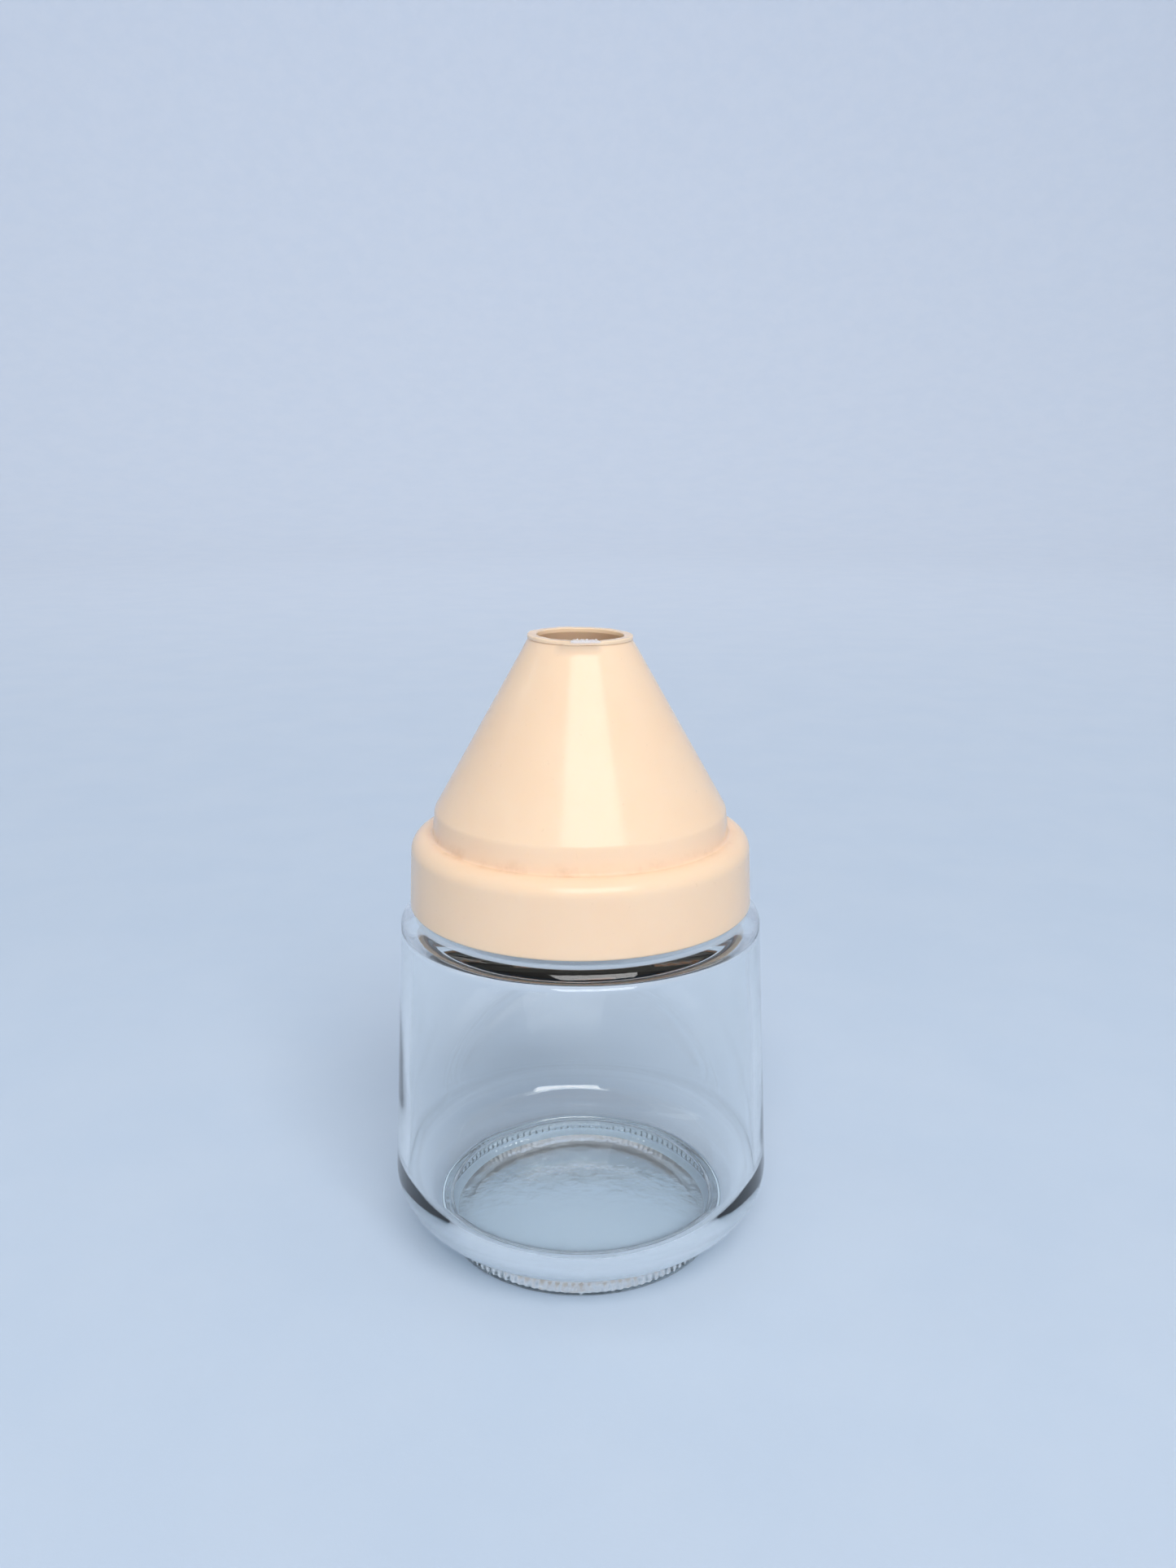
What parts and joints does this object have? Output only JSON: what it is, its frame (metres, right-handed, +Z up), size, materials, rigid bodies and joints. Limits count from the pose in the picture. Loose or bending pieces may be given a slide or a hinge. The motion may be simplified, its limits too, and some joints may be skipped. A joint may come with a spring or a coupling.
{
  "type": "wasp trap",
  "caption": "Baited insect trap: a wide clear glass jar with a stepped foot, closed by an opaque twist-on cone cap with an open tip that insects enter by.",
  "frame": {"origin": "on the jar's axis, in the plane of the foot ring it stands on", "axes": "+Z up along the jar's axis, through the entrance hole; +X and +Y are square to it, and the round body has no front"},
  "size_m": [0.096, 0.0959, 0.155],
  "materials": {
    "clear_glass": "clear",
    "cream_plastic": "satin gloss",
    "soft_seal": "matte"
  },
  "bodies": {
    "jar": {"glass_jar": "clear_glass"},
    "seal": {"sealing_ring": "soft_seal"},
    "cap": {"cone_cap": "cream_plastic"}
  },
  "joints": [
    {"name": "cap_rise", "type": "slide", "parent": "jar", "child": "seal", "axis": [0, 0, 1], "range_m": [0, 0.018]},
    {"name": "cap_turn", "type": "hinge", "parent": "seal", "child": "cap", "pos_m": [0, 0, 0.1], "axis": [0, 0, 1], "range_deg": [0, 360]}
  ],
  "couplings": [
    {"joint": "cap_rise", "follows": "cap_turn", "m_per_rad": 0.0028648}
  ]
}
